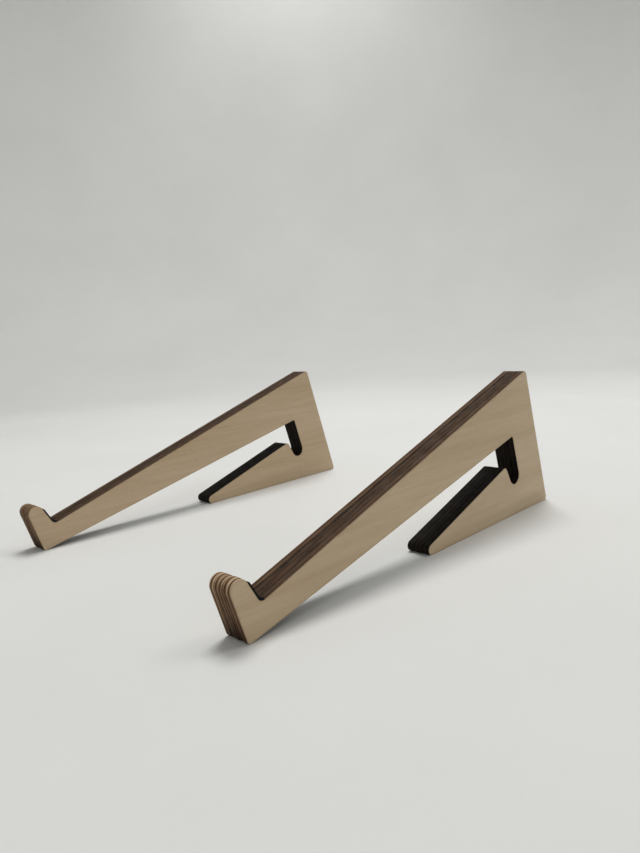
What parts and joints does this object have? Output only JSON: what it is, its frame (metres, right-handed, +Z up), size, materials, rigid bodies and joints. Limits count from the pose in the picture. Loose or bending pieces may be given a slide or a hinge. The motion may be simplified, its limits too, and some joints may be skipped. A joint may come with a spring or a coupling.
{
  "type": "laptop stand",
  "caption": "Pair of loose plywood side supports with hooked front fingers and rear wedges, holding a laptop at a slope; the two nest for storage.",
  "frame": {"origin": "bottom centre of the pair's bounding box, midway between the two supports on the surface they stand on", "axes": "+X to the right of a person who uses the laptop, +Y towards the laptop's rear edge, +Z up"},
  "size_m": [0.24, 0.2996, 0.1006],
  "materials": {
    "birch_plywood": "bare sanded faces with dark laser-cut edges",
    "grip_rubber": "matte"
  },
  "bodies": {
    "right_support": {"right_outer_sheet": "birch_plywood", "right_second_sheet": "birch_plywood", "right_middle_sheet": "birch_plywood", "right_fourth_sheet": "birch_plywood", "right_inner_sheet": "birch_plywood", "right_grip_strip": "grip_rubber"},
    "left_support": {"left_outer_sheet": "birch_plywood", "left_second_sheet": "birch_plywood", "left_middle_sheet": "birch_plywood", "left_fourth_sheet": "birch_plywood", "left_inner_sheet": "birch_plywood", "left_grip_strip": "grip_rubber"}
  },
  "joints": [
    {"name": "support_spacing", "type": "slide", "parent": "right_support", "child": "left_support", "axis": [-1, 0, 0], "range_m": [-0.206, 0.06]}
  ]
}
